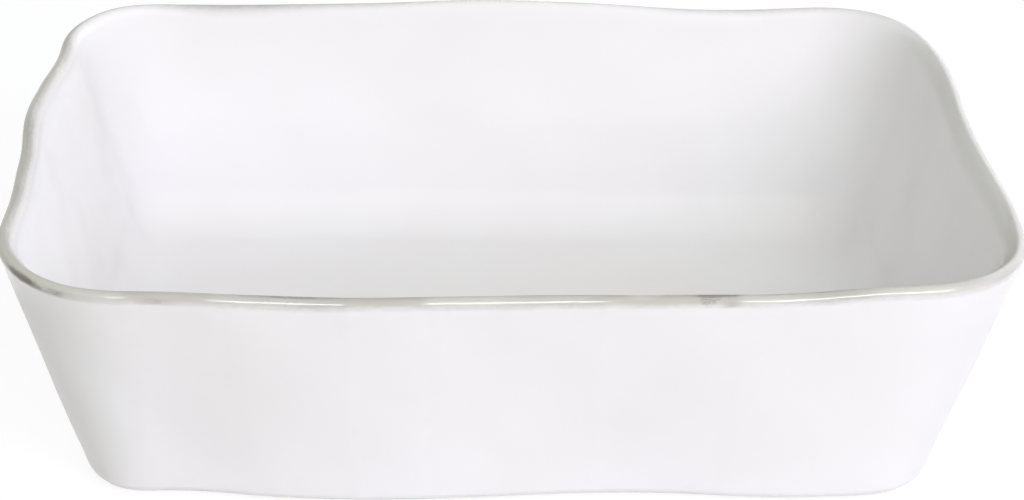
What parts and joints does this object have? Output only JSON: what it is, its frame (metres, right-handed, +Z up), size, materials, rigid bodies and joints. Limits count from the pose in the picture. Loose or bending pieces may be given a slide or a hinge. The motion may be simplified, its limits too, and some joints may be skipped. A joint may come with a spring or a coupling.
{
  "type": "baking dish",
  "caption": "Deep rectangular stoneware baking dish with leaning walls, rounded corners, a wavy hand-worked rim and white glaze that breaks to grey along the lip.",
  "frame": {"origin": "under the middle of the dish, on the surface that its foot ring stands on", "axes": "+X along the long side, +Z up out of the mouth, -Y towards the long side that faces the viewer"},
  "size_m": [0.3524, 0.2519, 0.0982],
  "materials": {
    "bare_clay": "matte",
    "outside_white_glaze": "gloss",
    "rim_grey_glaze": "gloss",
    "inside_white_glaze": "gloss",
    "underside_white_glaze": "gloss"
  },
  "bodies": {
    "root": {"stoneware_body": "bare_clay", "outside_glaze": "outside_white_glaze", "rim_glaze": "rim_grey_glaze", "inside_glaze": "inside_white_glaze", "underside_glaze": "underside_white_glaze"}
  },
  "joints": []
}
